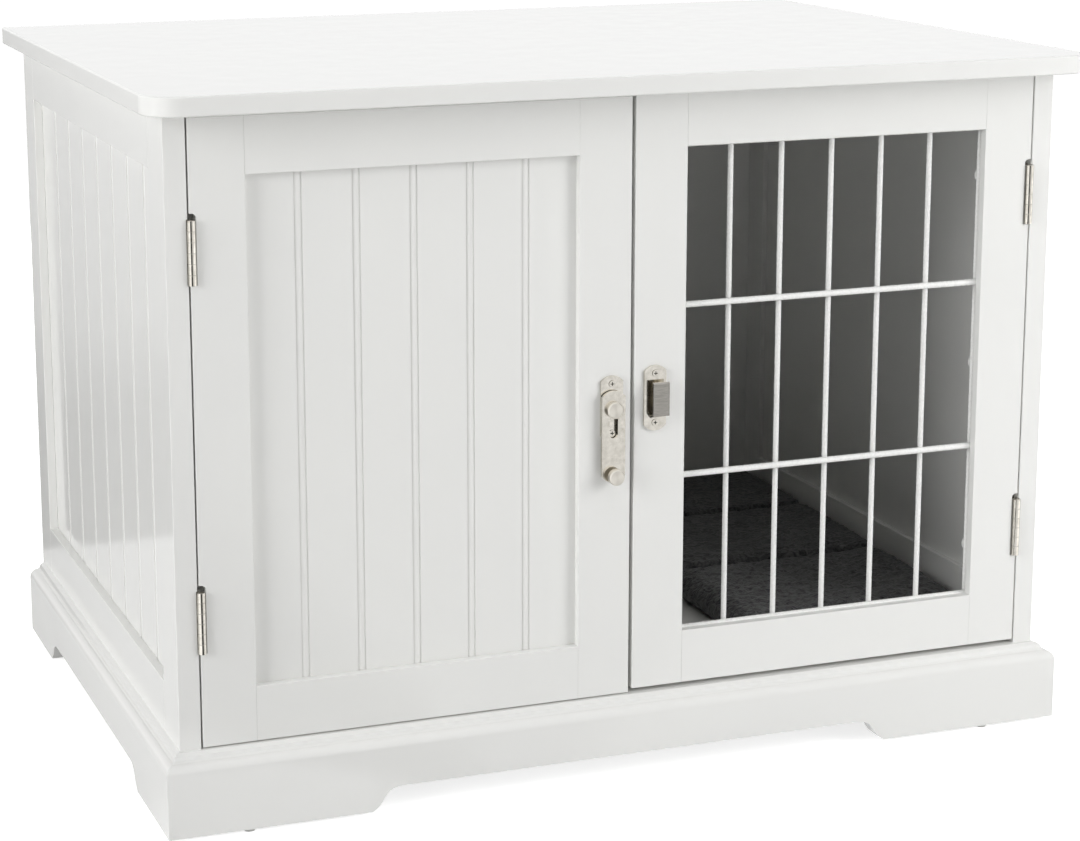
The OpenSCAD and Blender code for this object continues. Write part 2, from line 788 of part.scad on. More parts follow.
// Cut in the door's edge for the barrel and the leaf, with the round-ended notch above
module door_hinge_mortise(z) {
    pocket_x0 = hinge_x - knuckle_r - pocket_room;
    pocket_w = door_x1 + past - pocket_x0;
    pocket_y1 = hinge_y + knuckle_r + knuckle_room;
    low = z - hinge_h / 2 - knuckle_room;
    high = z + hinge_h / 2;
    translate([pocket_x0, front_y - past, low])
        cube([pocket_w, pocket_y1 - front_y + past, high - low]);
    intersection() {
        translate([hinge_x, front_y - past, high]) rotate([-90, 0, 0])
            cylinder(r = notch_h, h = notch_d + past, $fn = 48);
        translate([pocket_x0, front_y - past, high - past])
            cube([pocket_w, door_t, notch_h + 2 * past]);
    }
    translate([door_x1 - leaf_sink, front_y - past, z - hinge_h / 2 - screw_slack])
        cube([leaf_sink + past, leaf_reach + past + screw_slack, hinge_h + 2 * screw_slack]);
}

// Cut in the side's front stile for the barrel and the leaf
module hinge_relief(z) {
    translate([inner_half - past, front_y - past, z - hinge_h / 2 - knuckle_room])
        cube([past + knuckle_r + knuckle_room - hinge_room,
            hinge_y + knuckle_r + knuckle_room - front_y + past, hinge_h + 2 * knuckle_room]);
    translate([inner_half - past, front_y - past, z - hinge_h / 2 - screw_slack])
        cube([past + leaf_sink, leaf_reach + past + screw_slack, hinge_h + 2 * screw_slack]);
}

// Knuckles first, first + 2 and so on, with the leaf plate between x0 and x1 joined to them
module leaf(first, x0, x1) {
    difference() {
        union() {
            difference() {
                translate([x0, 0, 0]) cube([x1 - x0, leaf_reach + pin_proud, hinge_h]);
                for (i = [1 - first : 2 : knuckle_count - 1])
                    translate([0, 0, i * knuckle_pitch - (i == 0 ? past : 0)])
                        cylinder(r = knuckle_r + knuckle_room,
                            h = knuckle_pitch + (i == 0 || i == knuckle_count - 1 ? past : 0));
                for (i = [first : 2 : knuckle_count - 1])
                    translate([x0 - past, -past, i * knuckle_pitch - knuckle_gap / 2])
                        cube([x1 - x0 + 2 * past, past + pin_r, knuckle_pitch + knuckle_gap]);
            }
            for (i = [first : 2 : knuckle_count - 1])
                translate([0, 0, i * knuckle_pitch + knuckle_gap / 2])
                    cylinder(r = knuckle_r, h = knuckle_pitch - knuckle_gap);
        }
        translate([0, 0, -past]) cylinder(r = pin_r + pin_clear, h = hinge_h + 2 * past);
    }
}

module at_hinge(s, z) {
    mirror([s < 0 ? 1 : 0, 0, 0]) translate([hinge_x, hinge_y, z - hinge_h / 2]) children();
}

// Screws in the leaves: the heads lie in the gap between the leaves
leaf_screw_z = [-hinge_screw_pitch / 2, hinge_screw_pitch / 2];

module cabinet_leaf_screw_places(s) {
    door_z = s < 0 ? left_door_z : right_door_z;
    for (z = hinge_heights(door_z), dz = leaf_screw_z)
        mirror([s < 0 ? 1 : 0, 0, 0])
            translate([inner_half - leaf_t + leaf_sink, leaf_screw_y, z + dz]) rotate([0, -90, 0]) children();
}

module door_leaf_screw_places(s) {
    door_z = s < 0 ? left_door_z : right_door_z;
    for (z = hinge_heights(door_z), dz = leaf_screw_z)
        mirror([s < 0 ? 1 : 0, 0, 0])
            translate([door_x1 + leaf_t - leaf_sink, leaf_screw_y, z + dz]) rotate([0, 90, 0]) children();
}

module cabinet_leaf(s, z) {
    color(nickel) difference() {
        at_hinge(s, z) leaf(0, hinge_room - leaf_t + leaf_sink, hinge_room + leaf_sink);
        cabinet_leaf_screw_places(s) screw_hole(small_screw_r, small_screw_l);
    }
}

module door_leaf(s, z) {
    edge = door_x1 - hinge_x;
    color(nickel) difference() {
        at_hinge(s, z) leaf(1, edge - leaf_sink, edge + leaf_t - leaf_sink);
        door_leaf_screw_places(s) screw_hole(small_screw_r, small_screw_l);
    }
}

module hinge_pin(s, z) {
    color(nickel) at_hinge(s, z) cylinder(r = pin_r, h = hinge_h);
}

module cabinet_hinge_screws() {
    color(nickel) for (s = [-1, 1])
        cabinet_leaf_screw_places(s) wood_screw(small_screw_r, small_screw_l);
}

module door_hinge_screws(s) {
    color(nickel) door_leaf_screw_places(s) wood_screw(small_screw_r, small_screw_l);
}

// Latch. Shapes drawn flat in x and z, then raised forward from the doors' faces
module raise(from, to) {
    translate([0, front_y - from, 0]) rotate([90, 0, 0]) linear_extrude(to - from) children();
}

module plate_outline() {
    intersection() {
        square([plate_w, plate_h], center = true);
        union() {
            for (y = [-1, 1])
                translate([0, y * (plate_h / 2 - plate_end_r)]) circle(r = plate_end_r, $fn = 64);
            square([plate_w + past, plate_h - 2 * plate_end_r], center = true);
        }
    }
}

module plate_screw_places(x, z) {
    for (dz = [-1, 1])
        translate([x, front_y - plate_t, z + dz * plate_screw_pitch / 2]) rotate([90, 0, 0]) children();
}

module latch_screw_places() {
    plate_screw_places(-stud_x, latch_stud_z) children();
}

module keeper_screw_places() {
    plate_screw_places(keeper_x, keeper_mid_z) children();
}

stud_r = slot_w / 2 - 0.3;
stud_tail_r = stud_r - 1;

module latch_plate() {
    color(nickel) difference() {
        translate([-stud_x, 0, latch_stud_z]) raise(0, plate_t) difference() {
            plate_outline();
            circle(r = stud_tail_r + screw_slack);
        }
        latch_screw_places() screw_hole(small_screw_r, small_screw_l);
    }
}

module latch_plate_screws() {
    color(nickel) latch_screw_places() wood_screw(small_screw_r, small_screw_l, 0.6);
}

// A turned head with a softened rim, its back at y = 0 and rising along +z
module turned_head(d, t) {
    rim = 0.8;
    cylinder(d = d, h = t - rim);
    translate([0, 0, t - rim]) cylinder(d1 = d, d2 = d - 2 * rim, h = rim);
}

module latch_stud() {
    color(nickel) translate([-stud_x, front_y, latch_stud_z]) rotate([90, 0, 0]) {
        cylinder(r = stud_tail_r, h = plate_t + past);
        translate([0, 0, plate_t]) cylinder(r = stud_r + 1.6, h = bar_back - plate_t - 0.2);
        translate([0, 0, plate_t]) cylinder(r = stud_r, h = stud_head_back - plate_t + past);
        translate([0, 0, stud_head_back]) turned_head(stud_head_d, head_t);
    }
}

// The bar and its knob hang straight down from the stud
module from_stud() {
    translate([-stud_x, 0, latch_stud_z]) rotate([0, 90, 0]) children();
}

module latch_bar() {
    end_r = bar_w * 0.62;
    color(nickel) from_stud() raise(bar_back, bar_front) difference() {
        intersection() {
            translate([-bar_tail, -bar_w / 2]) square([bar_tail + bar_reach, bar_w]);
            union() {
                translate([end_r - bar_tail, 0]) circle(r = end_r, $fn = 64);
                translate([bar_reach - end_r, 0]) circle(r = end_r, $fn = 64);
                translate([end_r - bar_tail, -bar_w]) square([bar_tail + bar_reach - 2 * end_r, 2 * bar_w]);
            }
        }
        translate([0, -slot_w / 2]) square([slot_run, slot_w]);
        for (x = [0, slot_run])
            translate([x, 0]) circle(r = slot_w / 2);
        translate([knob_reach, 0]) circle(r = stud_tail_r + screw_slack);
    }
}

module latch_knob() {
    neck_r = 2.8;
    color(nickel) from_stud() translate([knob_reach, front_y - bar_back, 0]) rotate([90, 0, 0]) {
        cylinder(r = stud_tail_r, h = bar_t + past);
        translate([0, 0, bar_t]) cylinder(r = neck_r, h = knob_head_back - bar_front + past);
        translate([0, 0, knob_head_back - bar_back]) turned_head(knob_d, head_t + 0.5);
    }
}

// Keeper: a plate with a strap that leaves it at a ledge and is open at the top
module keeper() {
    color(nickel) difference() {
        union() {
            translate([keeper_x, 0, keeper_mid_z]) raise(0, plate_t) plate_outline();
            translate([strap_x0, front_y, ledge_z]) rotate([90, 0, 90]) linear_extrude(strap_w)
                polygon([[-plate_t + 1, -3.2], [-plate_t, -3.2], [-strap_front, -1],
                    [-strap_front, strap_h - 1], [-strap_front + 0.6, strap_h], [-strap_back, strap_h],
                    [-strap_back, 0], [-plate_t, -1.2], [-plate_t + 1, -1.2]]);
        }
        keeper_screw_places() screw_hole(small_screw_r, small_screw_l);
    }
}

module keeper_screws() {
    color(nickel) keeper_screw_places() wood_screw(small_screw_r, small_screw_l, 0.6);
}

// Mat: rounded cross-sections from front to back, pinched at the sewn seams
mat_rings = 36;
mat_ring_points = 32;
mat_l = back_inner_y - mat_clear - door_back_y - mat_front_room;

function signed_power(v, e) = sign(v) * pow(abs(v), e);

// How full the mat is at v, from 0 at the front edge to 1 at the back edge
function mat_fill(v) = pow(abs(sin(180 * mat_channels * v)), 0.45);

function mat_ring(v) =
    let (end = v < 0.001 || v > 0.999,
        full = mat_fill(v),
        t = end ? mat_t * 0.3 : mat_t * (0.72 + 0.28 * full),
        half = mat_w / 2 - mat_draw * (1 - full) - (end ? 2 : 0),
        y = -mat_l / 2 + mat_l * v)
    [for (i = [0 : mat_ring_points - 1])
        let (a = 360 * i / mat_ring_points,
            up = sin(a) > 0,
            z = 0.4 * mat_t + (up ? t - 0.4 * mat_t : 0.55 * mat_t) * signed_power(sin(a), up ? 0.55 : 0.8))
        [half * signed_power(cos(a), 0.3), y, max(z, 0)]];

module mat() {
    points = [for (j = [0 : mat_rings]) each mat_ring(j / mat_rings)];
    n = mat_ring_points;
    sides = [for (j = [0 : mat_rings - 1], i = [0 : n - 1])
        let (k = (i + 1) % n)
        each [[j * n + i, j * n + k, (j + 1) * n + i], [j * n + k, (j + 1) * n + k, (j + 1) * n + i]]];
    front = [for (i = [1 : n - 2]) [0, i + 1, i]];
    last = mat_rings * n;
    back = [for (i = [1 : n - 2]) [last, last + i, last + i + 1]];
    color(mat_grey)
        translate([inner_half - mat_clear - mat_w / 2, back_inner_y - mat_clear - mat_l / 2, plinth_top])
            polyhedron(points, concat(sides, front, back));
}

tabletop();
side_front_stile(-1, left_door_z);  // left_side_front_stile
side_back_stile(-1);  // left_side_back_stile
side_top_rail(-1);  // left_side_top_rail
side_bottom_rail(-1);  // left_side_bottom_rail
side_bead_panel(-1);  // left_side_bead_panel
side_front_stile(1, right_door_z);  // right_side_front_stile
side_back_stile(1);  // right_side_back_stile
side_top_rail(1);  // right_side_top_rail
side_bottom_rail(1);  // right_side_bottom_rail
side_bead_panel(1);  // right_side_bead_panel
back_panel();
floor_board();
front_skirt();
side_skirt(-1);  // left_skirt
side_skirt(1);  // right_skirt
floor_cleats();
top_cleats();
door_stop();
cabinet_screws();
glides();
mat();
door_hinge_stile(-1);  // left_door_hinge_stile
door_meeting_stile(-1);  // left_door_meeting_stile
door_rail(-1, door_h - door_rail_h);  // left_door_top_rail
door_rail(-1, 0);  // left_door_bottom_rail
left_door_bead_panel();
door_hinge_stile(1);  // right_door_hinge_stile
door_meeting_stile(1);  // right_door_meeting_stile
door_rail(1, door_h - door_rail_h);  // right_door_top_rail
door_rail(1, 0);  // right_door_bottom_rail
grille();
grille_clips();
grille_clip_screws();
cabinet_leaf(-1, hinge_heights(left_door_z)[1]);  // left_upper_cabinet_leaf
door_leaf(-1, hinge_heights(left_door_z)[1]);  // left_upper_door_leaf
hinge_pin(-1, hinge_heights(left_door_z)[1]);  // left_upper_hinge_pin
cabinet_leaf(-1, hinge_heights(left_door_z)[0]);  // left_lower_cabinet_leaf
door_leaf(-1, hinge_heights(left_door_z)[0]);  // left_lower_door_leaf
hinge_pin(-1, hinge_heights(left_door_z)[0]);  // left_lower_hinge_pin
cabinet_leaf(1, hinge_heights(right_door_z)[1]);  // right_upper_cabinet_leaf
door_leaf(1, hinge_heights(right_door_z)[1]);  // right_upper_door_leaf
hinge_pin(1, hinge_heights(right_door_z)[1]);  // right_upper_hinge_pin
cabinet_leaf(1, hinge_heights(right_door_z)[0]);  // right_lower_cabinet_leaf
door_leaf(1, hinge_heights(right_door_z)[0]);  // right_lower_door_leaf
hinge_pin(1, hinge_heights(right_door_z)[0]);  // right_lower_hinge_pin
cabinet_hinge_screws();
door_hinge_screws(-1);  // left_door_hinge_screws
door_hinge_screws(1);  // right_door_hinge_screws
latch_plate();
latch_plate_screws();
latch_stud();
latch_bar();
latch_knob();
keeper();
keeper_screws();
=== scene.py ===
"""Indoor kennel: finishes, mat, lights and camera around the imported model."""

import json
import math

import bpy
from mathutils import Matrix, Vector, noise


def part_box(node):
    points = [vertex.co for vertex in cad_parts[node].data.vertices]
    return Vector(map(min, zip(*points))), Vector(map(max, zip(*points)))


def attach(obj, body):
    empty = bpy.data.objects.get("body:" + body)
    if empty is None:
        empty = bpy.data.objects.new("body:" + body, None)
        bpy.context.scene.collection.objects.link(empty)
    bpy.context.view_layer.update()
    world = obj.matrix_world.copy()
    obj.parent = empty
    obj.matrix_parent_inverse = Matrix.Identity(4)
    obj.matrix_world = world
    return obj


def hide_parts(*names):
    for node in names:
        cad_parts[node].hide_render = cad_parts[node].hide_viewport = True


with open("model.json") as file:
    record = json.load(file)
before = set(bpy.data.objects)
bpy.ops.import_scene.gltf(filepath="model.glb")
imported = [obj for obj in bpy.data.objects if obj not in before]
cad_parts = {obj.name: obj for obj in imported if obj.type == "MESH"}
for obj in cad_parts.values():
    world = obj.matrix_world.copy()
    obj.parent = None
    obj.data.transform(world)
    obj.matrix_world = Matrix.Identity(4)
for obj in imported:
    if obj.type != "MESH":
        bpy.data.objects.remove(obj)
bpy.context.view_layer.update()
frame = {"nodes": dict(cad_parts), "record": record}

MM = 0.001
scene = bpy.context.scene

# Photograph: its size in pixels and the camera that took it
PHOTO_W, PHOTO_H = 1080, 841
CAMERA_PLACE = Vector((-0.75927, -1.98465, 0.74542))
CAMERA_TURN = math.radians(20.134)
CAMERA_DIP = math.radians(12.024)
CAMERA_ROLL = math.radians(-0.214)
FOCAL_PX = 2659.0
CENTRE_PX = (482.7, 334.5)
SENSOR_MM = 36.0
CLIP_START = 0.05


def make_camera():
    data = bpy.data.cameras.new("photo_camera")
    data.sensor_width = SENSOR_MM
    data.lens = FOCAL_PX / PHOTO_W * SENSOR_MM
    data.shift_x = (PHOTO_W / 2 - CENTRE_PX[0]) / PHOTO_W
    data.shift_y = (CENTRE_PX[1] - PHOTO_H / 2) / PHOTO_W
    data.clip_start = CLIP_START
    camera = bpy.data.objects.new("photo_camera", data)
    scene.collection.objects.link(camera)
    turn = Matrix.Rotation(-CAMERA_TURN, 4, "Z")
    dip = Matrix.Rotation(math.pi / 2 - CAMERA_DIP, 4, "X")
    roll = Matrix.Rotation(CAMERA_ROLL, 4, "Z")
    camera.matrix_world = Matrix.Translation(CAMERA_PLACE) @ turn @ dip @ roll
    scene.camera = camera


make_camera()

# Node graphs: the values between which a broad noise and a fine grain mostly lie
NOISE_SPAN = (0.3, 0.7)
GRAIN_SPAN = (0.25, 0.75)


class Graph:
    """A material's or a world's nodes, made and linked in few words."""

    def __init__(self, tree):
        self.tree = tree

    def add(self, kind, props=None, **sockets):
        node = self.tree.nodes.new(kind)
        for key, value in (props or {}).items():
            setattr(node, key, value)
        for key, value in sockets.items():
            self.set(node, key.replace("_", " "), value)
        return node

    def set(self, node, socket, value):
        target = node.inputs[int(socket) if socket.isdigit() else socket]
        if isinstance(value, bpy.types.NodeSocket):
            self.tree.links.new(value, target)
        else:
            target.default_value = value

    def math(self, operation, a, b=0.0):
        node = self.add("ShaderNodeMath", {"operation": operation})
        self.set(node, "0", a)
        self.set(node, "1", b)
        return node.outputs[0]

    def place(self, scale=(1, 1, 1), shift=(0, 0, 0)):
        coords = self.add("ShaderNodeTexCoord")
        return self.add("ShaderNodeMapping", Vector=coords.outputs["Object"],
                        Scale=scale, Location=shift).outputs[0]

    def axes(self, vector):
        return self.add("ShaderNodeSeparateXYZ", Vector=vector).outputs

    def length(self, vector):
        node = self.add("ShaderNodeVectorMath", {"operation": "LENGTH"})
        self.set(node, "0", vector)
        return node.outputs["Value"]

    def noise(self, scale, detail=2.0, rough=0.5, at=None, twist=0.0):
        return self.add("ShaderNodeTexNoise", Vector=at or self.place(), Scale=scale,
                        Detail=detail, Roughness=rough, Distortion=twist).outputs[0]

    def ramp(self, value, low, high, to_low=0.0, to_high=1.0):
        node = self.add("ShaderNodeMapRange", Value=value)
        for socket, number in zip("1234", (low, high, to_low, to_high)):
            self.set(node, socket, number)
        return node.outputs[0]

    def spread(self, value, to_low=0.0, to_high=1.0, span=NOISE_SPAN):
        """A noise, stretched so that it fills the range from to_low to to_high."""
        return self.ramp(value, span[0], span[1], to_low, to_high)

    def bands(self, value, edge, start, changes):
        """The level start, then from each place on the level beside it; edge is half a step wide."""
        total, before = start, start
        for place, level in changes:
            change = self.ramp(value, place - edge, place + edge, 0.0, level - before)
            total = self.math("ADD", total, change)
            before = level
        return total

    def mix(self, factor, a, b):
        node = self.add("ShaderNodeMix", {"data_type": "RGBA"})
        self.set(node, "0", factor)
        self.set(node, "6", a)
        self.set(node, "7", b)
        return node.outputs[2]

    def bump(self, height, distance, strength=1.0, normal=None):
        node = self.add("ShaderNodeBump", Height=height, Distance=distance, Strength=strength)
        if normal:
            self.set(node, "Normal", normal)
        return node.outputs[0]


def new_material(name):
    material = bpy.data.materials.new(name)
    material.use_nodes = True
    graph = Graph(material.node_tree)
    return material, graph, material.node_tree.nodes["Principled BSDF"]


def rgb(level_r, level_g, level_b):
    """A screen colour, 0 to 255, as the light that it stands for."""
    def one(level):
        c = level / 255
        return c / 12.92 if c <= 0.04045 else ((c + 0.055) / 1.055) ** 2.4
    return (one(level_r), one(level_g), one(level_b), 1.0)


# Colours: where there are two, the darker and the lighter tone that a finish varies between
PAINT = rgb(236, 236, 234), rgb(240, 240, 237)
WOOD = rgb(203, 168, 120), rgb(226, 200, 158)
WOOD_PORES = rgb(150, 112, 70)
COATING = rgb(240, 240, 238), rgb(246, 246, 244)
NICKEL = rgb(214, 209, 199), rgb(236, 232, 223)
# Painted reflection: the darker tone of the keeper strap's front, for the dark that it mirrors
STRAP_PAINTED_REFLECTION = rgb(150, 147, 141), rgb(176, 173, 167)
# Painted shade: the near-black laid into the screws' cross recesses
SCREW_PAINTED_SHADE = rgb(38, 36, 34)
ZINC = rgb(176, 178, 180), rgb(200, 202, 204)
PLASTIC = rgb(214, 214, 210), rgb(224, 224, 220)
PILE = rgb(34, 34, 35), rgb(92, 92, 92)
PILE_TIPS = rgb(128, 127, 126)
PILE_SHADE = rgb(58, 58, 59)
PILE_SHEEN = rgb(190, 190, 190)

# Metal: depths behind a piece's front where the screws' painted shade and the strap's painted
# reflection begin, how finely it is brushed, and how its edges look worn
RECESS_SHADE_FROM, RECESS_SHADE_FULL = 0.1 * MM, 0.35 * MM
STRAP_UNTIL, PLATE_FROM = 0.7 * MM, 1.0 * MM
BRUSHED_UP = (2600, 2600, 110)
BRUSHED_ACROSS = (160, 2600, 2600)
LATHE_RINGS = 5000.0
GRAIN_DEPTH = 0.02 * MM
WORN_EDGE, WORN_SCREW = 0.25 * MM, 0.15 * MM
EDGE_SAMPLES = 4


# Finishes
def painted(name):
    """Sprayed satin paint on smooth board: faint orange peel and slow waviness."""
    m, g, shader = new_material(name)
    slow = g.noise(7.0, detail=2.0, rough=0.5)
    peel = g.noise(300.0, detail=1.0, rough=0.5)
    gloss = g.noise(45.0, detail=3.0, rough=0.6)
    wavy = g.bump(slow, 0.5 * MM, strength=0.08)
    g.set(shader, "Base Color", g.mix(slow, *PAINT))
    g.set(shader, "Roughness", g.spread(gloss, 0.08, 0.13))
    g.set(shader, "Normal", g.bump(peel, 0.01 * MM, strength=0.1, normal=wavy))
    return m


def bare_wood(name):
    """Planed softwood: growth lines along Y, with pores."""
    m, g, shader = new_material(name)
    rings = g.noise(1.0, detail=4.0, rough=0.6, at=g.place(scale=(90, 5, 90)))
    pores = g.noise(1.0, detail=2.0, rough=0.7, at=g.place(scale=(1500, 60, 1500)))
    tone = g.mix(g.ramp(rings, 0.35, 0.65), *WOOD)
    g.set(shader, "Base Color", g.mix(g.ramp(pores, 0.62, 0.75, 0.0, 0.35), tone, WOOD_PORES))
    g.set(shader, "Roughness", g.spread(rings, 0.55, 0.7))
    g.set(shader, "Normal", g.bump(pores, 0.15 * MM, strength=0.5))
    return m


def coated(name):
    """White coating on wire: rougher than the paint, with a finer and deeper skin."""
    m, g, shader = new_material(name)
    skin = g.noise(420.0, detail=2.0, rough=0.6)
    g.set(shader, "Base Color", g.mix(g.noise(25.0), *COATING))
    g.set(shader, "Roughness", g.spread(skin, 0.22, 0.34))
    g.set(shader, "Normal", g.bump(skin, 0.05 * MM, strength=0.2))
    return m


def finish_metal(g, shader, colour, roughness, grain, strength, worn):
    """Sets what flat metal shares: colour, gloss, grain and edges that catch the light."""
    g.set(shader, "Base Color", colour)
    g.set(shader, "Metallic", 1.0)
    g.set(shader, "Roughness", roughness)
    edge = g.add("ShaderNodeBevel", {"samples": EDGE_SAMPLES}, Radius=worn).outputs[0]
    g.set(shader, "Normal", g.bump(grain, GRAIN_DEPTH, strength, edge))


def brushed(name, tones, rough=0.13):
    """Satin metal with fine grinding lines."""
    m, g, shader = new_material(name)
    lines = g.noise(1.0, detail=3.0, rough=0.65, at=g.place(scale=BRUSHED_UP))
    cloud = g.noise(180.0, detail=3.0, rough=0.6)
    colour = g.mix(g.spread(cloud), *tones)
    gloss = g.spread(lines, rough - 0.04, rough + 0.05, GRAIN_SPAN)
    finish_metal(g, shader, colour, gloss, lines, 0.5, WORN_EDGE)
    return m


def across(g, low, high):
    """0 to 1 from low to high, which are both places along Y."""
    return g.ramp(g.axes(g.place())[1], low, high)


def screw_metal(name, face_y):
    """Bright screw heads that face the front, with painted shade in the cross, darker where it lies
    deeper than the head's face.
    """
    m, g, shader = new_material(name)
    cloud = g.noise(400.0, detail=3.0, rough=0.6)
    # Painted shade: the cross recess turns dark from just behind the head's face to a little deeper
    recess_shade = across(g, face_y + RECESS_SHADE_FROM, face_y + RECESS_SHADE_FULL)
    colour = g.mix(recess_shade, g.mix(cloud, *NICKEL), SCREW_PAINTED_SHADE)
    finish_metal(g, shader, colour, g.spread(cloud, 0.14, 0.24), cloud, 0.4, WORN_SCREW)
    return m


def keeper_metal(name, face_y):
    """Bright plate and a strap, both brushed along X; the strap's front is painted darker, as a
    painted dark reflection.
    """
    m, g, shader = new_material(name)
    lines = g.noise(1.0, detail=3.0, rough=0.65, at=g.place(scale=BRUSHED_ACROSS))
    cloud = g.noise(180.0, detail=3.0, rough=0.6)
    plate = across(g, face_y + STRAP_UNTIL, face_y + PLATE_FROM)
    # Painted reflection: the strap's front is given a darker brushed tone, for the dark surroundings
    # it mirrors
    strap_painted_reflection = g.mix(g.spread(lines), *STRAP_PAINTED_REFLECTION)
    colour = g.mix(plate, strap_painted_reflection, g.mix(g.spread(cloud), *NICKEL))
    finish_metal(g, shader, colour, g.ramp(plate, 0.0, 1.0, 0.26, 0.14), lines, 0.5, WORN_EDGE)
    return m


def turned(name, centre, rough=0.36):
    """Metal faced on a lathe: rings round its axis, which runs along Y."""
    m, g, shader = new_material(name)
    flat = g.add("ShaderNodeVectorMath", {"operation": "MULTIPLY"})
    g.set(flat, "0", g.place(shift=(-centre[0], 0, -centre[2])))
    g.set(flat, "1", (1, 0, 1))
    rings = g.add("ShaderNodeTexNoise", {"noise_dimensions": "1D"}, W=g.length(flat.outputs[0]),
                  Scale=LATHE_RINGS, Detail=2.0).outputs[0]
    g.set(shader, "Base Color", g.mix(rings, *NICKEL))
    g.set(shader, "Metallic", 1.0)
    g.set(shader, "Roughness", g.spread(rings, rough - 0.04, rough + 0.06, GRAIN_SPAN))
    g.set(shader, "Anisotropic", 0.9)
    round_y = g.add("ShaderNodeTangent", {"direction_type": "RADIAL", "axis": "Y"})
    g.set(shader, "Tangent", round_y.outputs[0])
    g.set(shader, "Normal", g.bump(rings, GRAIN_DEPTH, strength=0.5))
    return m


def plastic(name):
    """Light grey moulded plastic with a faint grain."""
    m, g, shader = new_material(name)
    skin = g.noise(900.0, detail=2.0, rough=0.5)
    g.set(shader, "Base Color", g.mix(g.noise(80.0), *PLASTIC))
    g.set(shader, "Roughness", g.spread(skin, 0.4, 0.5))
    g.set(shader, "Normal", g.bump(skin, 0.05 * MM, strength=0.4))
    return m


def plush(name):
    """Short dark grey pile: curly tufts a few millimetres wide, lighter at their tips."""
    m, g, shader = new_material(name)
    tuft = g.noise(150.0, detail=2.0, rough=0.55, twist=1.6)
    strand = g.noise(700.0, detail=2.0, rough=0.7)
    wide = g.noise(22.0, detail=2.0, rough=0.5)
    tone = g.mix(g.ramp(tuft, 0.38, 0.62), *PILE)
    tone = g.mix(g.ramp(strand, 0.45, 0.8, 0.0, 0.45), tone, PILE_TIPS)
    g.set(shader, "Base Color", g.mix(g.ramp(wide, 0.35, 0.65, 0.0, 0.3), tone, PILE_SHADE))
    g.set(shader, "Roughness", g.spread(strand, 0.85, 0.98))
    g.set(shader, "Sheen Weight", 0.35)
    g.set(shader, "Sheen Roughness", 0.5)
    g.set(shader, "Sheen Tint", PILE_SHEEN)
    curls = g.bump(tuft, 2.5 * MM, strength=0.8)
    g.set(shader, "Normal", g.bump(strand, 0.5 * MM, strength=0.6, normal=curls))
    return m


TURNED = ["latch_stud", "latch_knob"]
FRONT_SCREWS = ["latch_plate_screws", "keeper_screws"]
finishes = {
    "painted_board": painted("painted_board"),
    "raw_wood": bare_wood("raw_wood"),
    "coated_wire": coated("coated_wire"),
    "nickel": brushed("nickel", NICKEL),
    "zinc_steel": brushed("zinc_steel", ZINC, rough=0.3),
    "mat_fabric": plush("mat_fabric"),
    "glide_plastic": plastic("glide_plastic"),
}
slots = {part["node"]: part["material_slot"] for part in frame["record"]["subparts"]}


def finish_of(name):
    """The finish of a node: its slot's, or its own where a nickel piece is worked differently."""
    if name in TURNED:
        low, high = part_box(name)
        return turned(name + "_metal", (low + high) / 2)
    if name in FRONT_SCREWS:
        return screw_metal(name + "_metal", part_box(name)[0].y)
    if name == "keeper":
        return keeper_metal(name + "_metal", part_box(name)[0].y)
    return finishes[slots[name]]


for name, obj in frame["nodes"].items():
    finish = finish_of(name)
    obj.data.materials.clear()
    obj.data.materials.append(finish)

# Mat as a pad: the room it is given less the inset, and how its outline is rounded
MAT_INSET = Vector((3, 3, 1.5)) * MM
PAD_ROWS, PAD_RING = 60, 40
END_WIDTH, END_GAIN = 0.93, 0.07
END_POWER, SIDE_POWER, CROWN_POWER = 0.25, 0.2, 0.3
CROWN_SHARE, BELLY_SHARE = 0.62, 0.38
MAT_VOXEL = 4.5 * MM

# Mat as cloth: pressure inside, and how far that may push a point
CLOTH_PRESSURE = 4
CLOTH_QUALITY = 5
CLOTH_FRAMES = 20
MAT_SWELL = 5.0 * MM

# Mat's seams: shares of its length from the front, a sharp crease and the wide dip beside it
MAT_SEAMS = (0.355, 0.68)
SEAM_DEPTH = 7.0 * MM
SEAM_CREASE, SEAM_DIP = 3.2 * MM, 16 * MM
DIP_WEIGHT = 0.3
SEAM_FADE = 1.2
SEAM_WOBBLE = 2.5 * MM
WOBBLE_PITCH, WOBBLE_SEED = 25, 31

# Mat's form: lower towards the front, turned up in a band along the right wall
MAT_FALL = 5.0 * MM
WALL_BAND = 34.0 * MM
WALL_RISE = 11.0 * MM
WALL_PUSH = 2.5 * MM
WALL_LIFT = 1.6
WALL_FADE = 0.5

# Mat's pile: wide and fine tufts, none near the underside, and the room kept inside its solid
TUFT_WIDE, TUFT_FINE = 150, 330
TUFT_FINE_WEIGHT = 0.6
TUFT_HEIGHT = 1.3 * MM
PILE_FROM = 0.12
MAT_ROOM = 0.3 * MM


def clamp(value, low, high):
    return min(max(value, low), high)


def mesh_object(name, points, faces, smooth=True):
    mesh = bpy.data.meshes.new(name)
    mesh.from_pydata(points, [], faces)
    mesh.polygons.foreach_set("use_smooth", [smooth] * len(mesh.polygons))
    mesh.update()
    obj = bpy.data.objects.new(name, mesh)
    scene.collection.objects.link(obj)
    return obj


def settle(obj):
    """Replaces obj's mesh by what its modifiers make of it."""
    bpy.context.view_layer.update()
    solved = obj.evaluated_get(bpy.context.evaluated_depsgraph_get())
    made = bpy.data.meshes.new_from_object(solved)
    obj.modifiers.clear()
    obj.data = made


